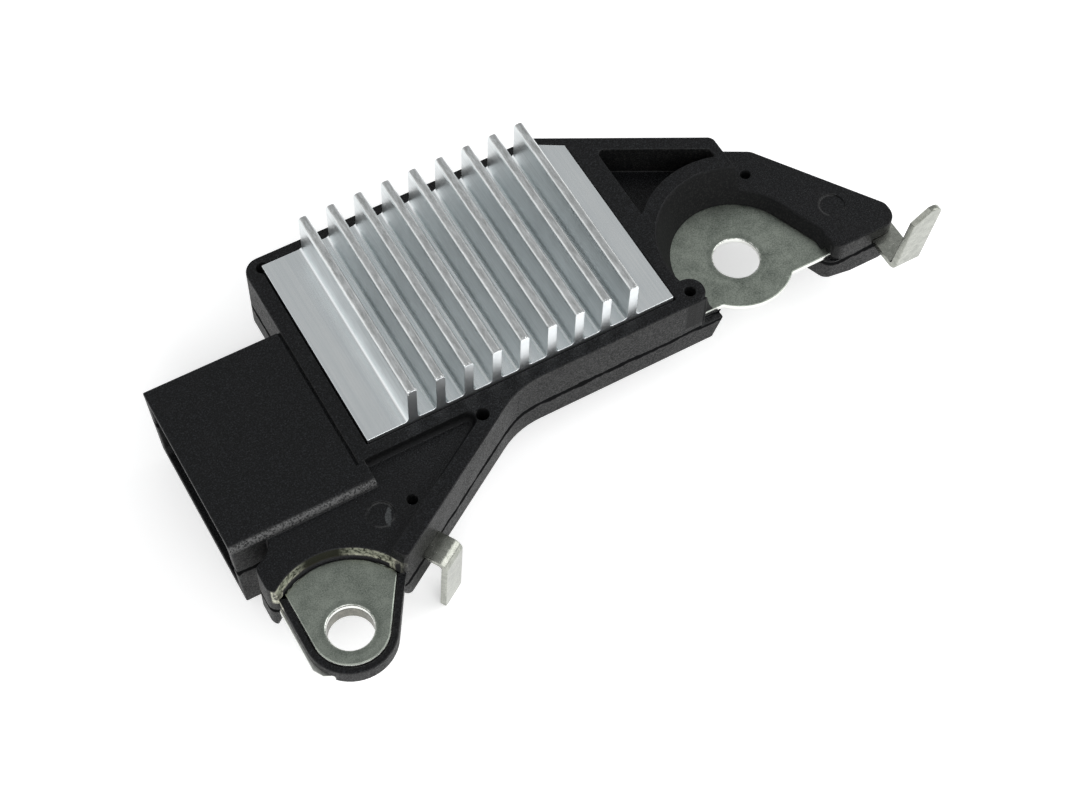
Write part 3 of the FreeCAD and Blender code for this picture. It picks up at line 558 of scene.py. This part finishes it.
# Rounded edges: merged copies of the solids whose sharp edges are bevelled
edgeLook = {
    "mergeGap": 0.002,
    "flatAngle": 0.6,
    "sharpAngle": 28.0,
    "smoothAngle": 42.0,
    "room": 2.5,
    "rounds": {
        "housing": 0.17,
        "heat_sink": 0.09,
        "upper_ring_terminal": 0.16,
        "lower_ear_plate": 0.13,
        "lower_ear_lead": 0.08,
        "right_tab_lead": 0.12,
        "lower_tab_lead": 0.12,
    },
}


def hasRoom(edge, sharp, width):
    # a strip between two sharp edges must be wide enough for both bevels
    for loop in edge.link_loops:
        start, end = loop.vert.co, loop.link_loop_next.vert.co
        way = (end - start).normalized()
        middle = (start + end) / 2
        for other in loop.face.loops:
            low, high = other.vert.co, other.link_loop_next.vert.co
            if other.edge not in sharp or way.dot((high - low).normalized()) > -0.3:
                continue
            share = intersect_point_line(middle, low, high)[1]
            nearest = low.lerp(high, min(max(share, 0.0), 1.0))
            if (nearest - middle).length < width:
                return False
    return True


def addObject(bm, name, material):
    mesh = bpy.data.meshes.new(name)
    bm.to_mesh(mesh)
    bm.free()
    mesh.materials.append(material)
    made = bpy.data.objects.new(name, mesh)
    bpy.context.scene.collection.objects.link(made)
    return made


def addPiece(bm, name, slot):
    piece = addObject(bm, name, finishes[slot])
    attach(piece, "root")
    return piece


def roundedCopy(nodeName, width, reshape):
    bm = bmesh.new()
    bm.from_mesh(frame["nodes"][nodeName].data)
    bmesh.ops.remove_doubles(bm, verts=bm.verts, dist=edgeLook["mergeGap"] * mm)
    if reshape:
        reshape(bm)
    bmesh.ops.dissolve_limit(bm, angle_limit=math.radians(edgeLook["flatAngle"]),
                             verts=bm.verts, edges=bm.edges)
    limit = math.radians(edgeLook["sharpAngle"])
    sharp = {edge for edge in bm.edges if len(edge.link_faces) == 2 and edge.calc_face_angle() > limit}
    chosen = [edge for edge in sharp if hasRoom(edge, sharp, width * mm * edgeLook["room"])]
    bmesh.ops.bevel(bm, geom=chosen, offset=width * mm, offset_type="OFFSET", segments=2, profile=0.5,
                    affect="EDGES", material=-1, clamp_overlap=False, miter_outer="ARC")
    for face in bm.faces:
        face.smooth = True
    piece = addPiece(bm, f"{nodeName}Rounded", slots[nodeName])
    piece.data.set_sharp_from_angle(angle=math.radians(edgeLook["smoothAngle"]))
    even = piece.modifiers.new("evenNormals", "WEIGHTED_NORMAL")
    even.keep_sharp = True
    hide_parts(nodeName)


# Arm: its near wall is one plane below the parting line too
armFoot = {
    "left": 83.5,
    "right": 87.0,
    "near": 18.1,
    "far": 18.7,
    "top": -0.01,
}


def flattenArmFoot(bm):
    for vert in bm.verts:
        x, y, z = vert.co / mm
        inside = armFoot["left"] < x < armFoot["right"] and armFoot["near"] < y < armFoot["far"]
        if inside and z < armFoot["top"]:
            vert.co.y = armFoot["near"] * mm


# Socket: its top lies a little below the frame's rim, which ends in a step there,
# and the groove beside the frame ends at the frame's front
socketTop = {
    "left": -9.0,
    "frameSide": 10.5,
    "end": 11.4,
    "right": 12.0,
    "near": 14.7,
    "frameFront": 18.1,
    "far": 40.5,
    "low": 4.9,
    "bendFrom": 5.0,
    "top": 6.3,
    "drop": 0.3,
    "slack": 0.02,
    "cutGap": 0.001,
}
groove = {
    "left": 10.1,
    "right": 10.55,
    "near": 15.9,
    "far": 17.9,
    "low": 6.0,
    "high": 6.1,
}


def isSocketTop(vert):
    x, y, z = vert.co / mm
    look = socketTop
    slack = look["slack"]
    beforeFrame = x < look["end"] + slack and y < look["frameFront"] + slack
    inside = look["near"] - slack < y < look["far"] + slack and z > look["bendFrom"] - slack
    return inside and (x < look["frameSide"] + slack or beforeFrame)


def cutSocketTop(bm):
    look = socketTop
    right, far, up = (1, 0, 0), (0, 1, 0), (0, 0, 1)
    cuts = (
        (right, look["frameSide"]),
        (far, look["frameFront"]),
        (far, look["near"]),
        (far, look["far"]),
        (right, look["end"]),
        (up, look["bendFrom"]),
        (far, groove["near"]),
        (far, groove["far"]),
    )
    for way, place in cuts:
        faces = [face for face in bm.faces if max(vert.co.x for vert in face.verts) > look["left"] * mm
                 and min(vert.co.x for vert in face.verts) < look["right"] * mm
                 and max(vert.co.z for vert in face.verts) > look["low"] * mm]
        edges = {edge for face in faces for edge in face.edges}
        verts = {vert for face in faces for vert in face.verts}
        bmesh.ops.bisect_plane(bm, geom=list(verts) + list(edges) + faces, dist=look["cutGap"] * mm,
                               plane_co=Vector(way) * place * mm, plane_no=way)


def fillGroove(bm):
    slack = socketTop["slack"]
    for vert in bm.verts:
        x, y, z = vert.co / mm
        beside = groove["left"] < x < groove["right"]
        along = groove["near"] - slack < y < groove["far"] + slack
        if beside and along and groove["low"] < z < groove["high"]:
            vert.co.z = socketTop["top"] * mm


def isRimEdge(edge):
    look = socketTop
    slack = look["slack"]
    x, y, z = (edge.verts[0].co + edge.verts[1].co) / 2 / mm
    alongSide = abs(x - look["frameSide"]) < slack and y > look["frameFront"] - slack
    alongFront = abs(y - look["frameFront"]) < slack and x > look["frameSide"] - slack
    level = abs(edge.verts[0].co.z - edge.verts[1].co.z) < slack * mm
    return level and z > look["top"] - slack and (alongSide or alongFront)


def lowerSocketTop(bm):
    look = socketTop
    cutSocketTop(bm)
    fillGroove(bm)
    bmesh.ops.split(bm, geom=[face for face in bm.faces if all(isSocketTop(vert) for vert in face.verts)])
    region = [face for face in bm.faces if all(isSocketTop(vert) for vert in face.verts)]
    moved = {vert for face in region for vert in face.verts}
    borders = {edge for face in region for edge in face.edges if len(edge.link_faces) == 1}
    bmesh.ops.extrude_edge_only(bm, edges=[edge for edge in borders if isRimEdge(edge)])
    share = look["drop"] / (look["top"] - look["bendFrom"])
    for vert in moved:
        vert.co.z -= (vert.co.z - look["bendFrom"] * mm) * share
    bmesh.ops.remove_doubles(bm, verts=bm.verts, dist=edgeLook["mergeGap"] * mm)


def reshapeHousing(bm):
    flattenArmFoot(bm)
    lowerSocketTop(bm)


# Heat sink: its base fills its seat in the frame but for a hair line
sinkSeat = {
    "spread": 0.13,
    "slack": 0.02,
}


def spreadSink(bm):
    left = min(vert.co.x for vert in bm.verts)
    near = min(vert.co.y for vert in bm.verts)
    for vert in bm.verts:
        if vert.co.x < left + sinkSeat["slack"] * mm:
            vert.co.x -= sinkSeat["spread"] * mm
        if vert.co.y < near + sinkSeat["slack"] * mm:
            vert.co.y -= sinkSeat["spread"] * mm


# Ring terminal: the pressed seat round its hole is level with the sheet
ringSheet = {
    "bottom": 0.0,
    "top": 0.9,
}


def flattenSeat(bm):
    for vert in bm.verts:
        vert.co.z = min(max(vert.co.z, ringSheet["bottom"] * mm), ringSheet["top"] * mm)


# Ear lead: the sheet's low left corner is tucked in under the ear
earCorners = [
    {"left": -4.8, "right": -4.4, "near": -4.5, "far": -4.1, "moveTo": (-4.15, -3.95)},
    {"left": -5.7, "right": -5.3, "near": -3.7, "far": -3.3, "moveTo": (-5.45, -3.3)},
]


def trimEarLead(bm):
    for vert in bm.verts:
        x, y, _ = vert.co / mm
        for corner in earCorners:
            if corner["left"] < x < corner["right"] and corner["near"] < y < corner["far"]:
                vert.co.x, vert.co.y = corner["moveTo"][0] * mm, corner["moveTo"][1] * mm


reshapes = {
    "housing": reshapeHousing,
    "heat_sink": spreadSink,
    "upper_ring_terminal": flattenSeat,
    "lower_ear_lead": trimEarLead,
}
for nodeName, width in edgeLook["rounds"].items():
    roundedCopy(nodeName, width, reshapes.get(nodeName))
print("edges rounded")


# Burrs that the saw left on the near ends of the fins
burrLook = {
    "finCount": 9,
    "firstFin": 19.325,
    "finPitch": 4.0,
    "near": 20.2,
    "top": 13.4,
    "finHalf": 0.55,
    "sides": (-1, -1, -0.4, 0.3, 1),
    "size": 0.17,
    "depth": 0.06,
    "lowShare": 0.6,
    "seed": 5,
}


def addBurr(bm, chance, middle, side):
    look = burrLook
    radius = look["size"] * mm * chance.uniform(0.5, 1.2)
    made = bmesh.ops.create_icosphere(bm, subdivisions=1, radius=radius)
    stretch = (chance.uniform(0.6, 1.0), chance.uniform(0.8, 1.7), chance.uniform(0.5, 0.9))
    bmesh.ops.transform(bm, verts=made["verts"], matrix=Matrix.Diagonal(stretch).to_4x4())
    for vert in made["verts"]:
        vert.co *= chance.uniform(0.75, 1.25)
    low = abs(side) == 1 and chance.random() < look["lowShare"]
    back = chance.uniform(-0.02, 0.15)
    down = chance.uniform(0.1, 1.6) if low else look["depth"]
    place = Vector((middle + side * look["finHalf"], look["near"] + back, look["top"] - down))
    bmesh.ops.translate(bm, verts=made["verts"], vec=place * mm)


def addBurrs():
    look = burrLook
    chance = random.Random(look["seed"])
    bm = bmesh.new()
    for i in range(look["finCount"]):
        for side in look["sides"]:
            addBurr(bm, chance, look["firstFin"] + i * look["finPitch"], side)
    addPiece(bm, "finBurrs", "sink_aluminium")


addBurrs()
print("burrs added")


# Camera
shot = {
    "target": (36.42, 17.68, 0.0),
    "distance": 272.6,
    "azimuth": -31.73,
    "elevation": 58.82,
    "roll": 2.43,
    "lens": 69.83,
    "sensor": 36.0,
    "nearest": 0.01,
    "farthest": 10.0,
}


def addCamera():
    camera = bpy.data.cameras.new("camera")
    camera.lens = shot["lens"]
    camera.sensor_width = shot["sensor"]
    camera.sensor_fit = "HORIZONTAL"
    camera.clip_start = shot["nearest"]
    camera.clip_end = shot["farthest"]
    holder = bpy.data.objects.new("camera", camera)
    bpy.context.scene.collection.objects.link(holder)
    turn = Matrix.Rotation(math.radians(shot["azimuth"]), 3, "Z")
    turn = turn @ Matrix.Rotation(math.radians(90 - shot["elevation"]), 3, "X")
    turn = turn @ Matrix.Rotation(math.radians(shot["roll"]), 3, "Z")
    back = turn @ Vector((0, 0, 1))
    place = Vector(shot["target"]) * mm + back * shot["distance"] * mm
    holder.matrix_world = Matrix.Translation(place) @ turn.to_4x4()
    bpy.context.scene.camera = holder


# Floor, lamps and a white sky that is dimmer overhead and in front
studio = {
    "floorShade": (0.93, 0.93, 0.93),
    "floorGlow": 0.45,
    "floorHalf": 3.0,
    "floorGap": 0.05,
    "fleckSize": 40.0,
    "horizonShade": (1.0, 1.0, 1.0),
    "caps": [
        {"way": (0.27, 0.43, 0.857), "shade": (0.46, 0.468, 0.47), "from": 0.30, "full": 0.95},
        {"way": (0.05, -0.80, 0.60), "shade": (0.55, 0.555, 0.56), "from": 0.35, "full": 0.85},
    ],
    "aim": (36, 20, 0),
    "lamps": [
        {"name": "frontLamp", "place": (-40, -350, 290), "width": 420, "power": 0.9},
        {"name": "rightLamp", "place": (360, -90, 260), "width": 380, "power": 0.8},
    ],
}


def addSky():
    f = Finish(bpy.data.worlds.new("studio"))
    way = f.node("ShaderNodeTexCoord", output="Generated")
    caps = []
    for cap in studio["caps"]:
        values = {0: way, 1: cap["way"]}
        near = f.node("ShaderNodeVectorMath", {"operation": "DOT_PRODUCT"}, values, output="Value")
        shade = f.ramp(near, (cap["from"], studio["horizonShade"]), (cap["full"], cap["shade"]))
        shade.socket.node.color_ramp.interpolation = "EASE"
        caps.append(shade)
    settings = {"data_type": "RGBA", "blend_type": "MULTIPLY"}
    both = f.node("ShaderNodeMix", settings, {0: 1.0, 6: caps[0], 7: caps[1]}, output=2)
    light = f.node("ShaderNodeBackground", values={"Color": both})
    f.node("ShaderNodeOutputWorld", values={"Surface": light})
    bpy.context.scene.world = f.owner


def addFloor():
    f = Finish(bpy.data.materials.new("floorPaper"))
    fleck = f.noise(studio["fleckSize"], 2.0, 0.5)
    darker = tuple(part * 0.98 for part in studio["floorShade"])
    base = f.blend(fleck, darker, studio["floorShade"])
    f.surface(Base_Color=base, Roughness=0.9, Specular_IOR_Level=0.2, Emission_Color=base,
              Emission_Strength=studio["floorGlow"])
    bm = bmesh.new()
    bmesh.ops.create_grid(bm, x_segments=1, y_segments=1, size=studio["floorHalf"])
    bmesh.ops.translate(bm, verts=bm.verts, vec=(0, 0, cadBox[0][2] - studio["floorGap"] * mm))
    floor = addObject(bm, "floor", f.owner)


def addLamps():
    for row in studio["lamps"]:
        lamp = bpy.data.lights.new(row["name"], "AREA")
        lamp.shape = "SQUARE"
        lamp.size = row["width"] * mm
        lamp.energy = row["power"]
        holder = bpy.data.objects.new(row["name"], lamp)
        bpy.context.scene.collection.objects.link(holder)
        place = Vector(row["place"]) * mm
        turn = (Vector(studio["aim"]) * mm - place).to_track_quat("-Z", "Y")
        holder.matrix_world = Matrix.Translation(place) @ turn.to_matrix().to_4x4()


addCamera()
addFloor()
addLamps()
addSky()
bpy.context.scene.view_settings.view_transform = "Standard"
print("studio set")
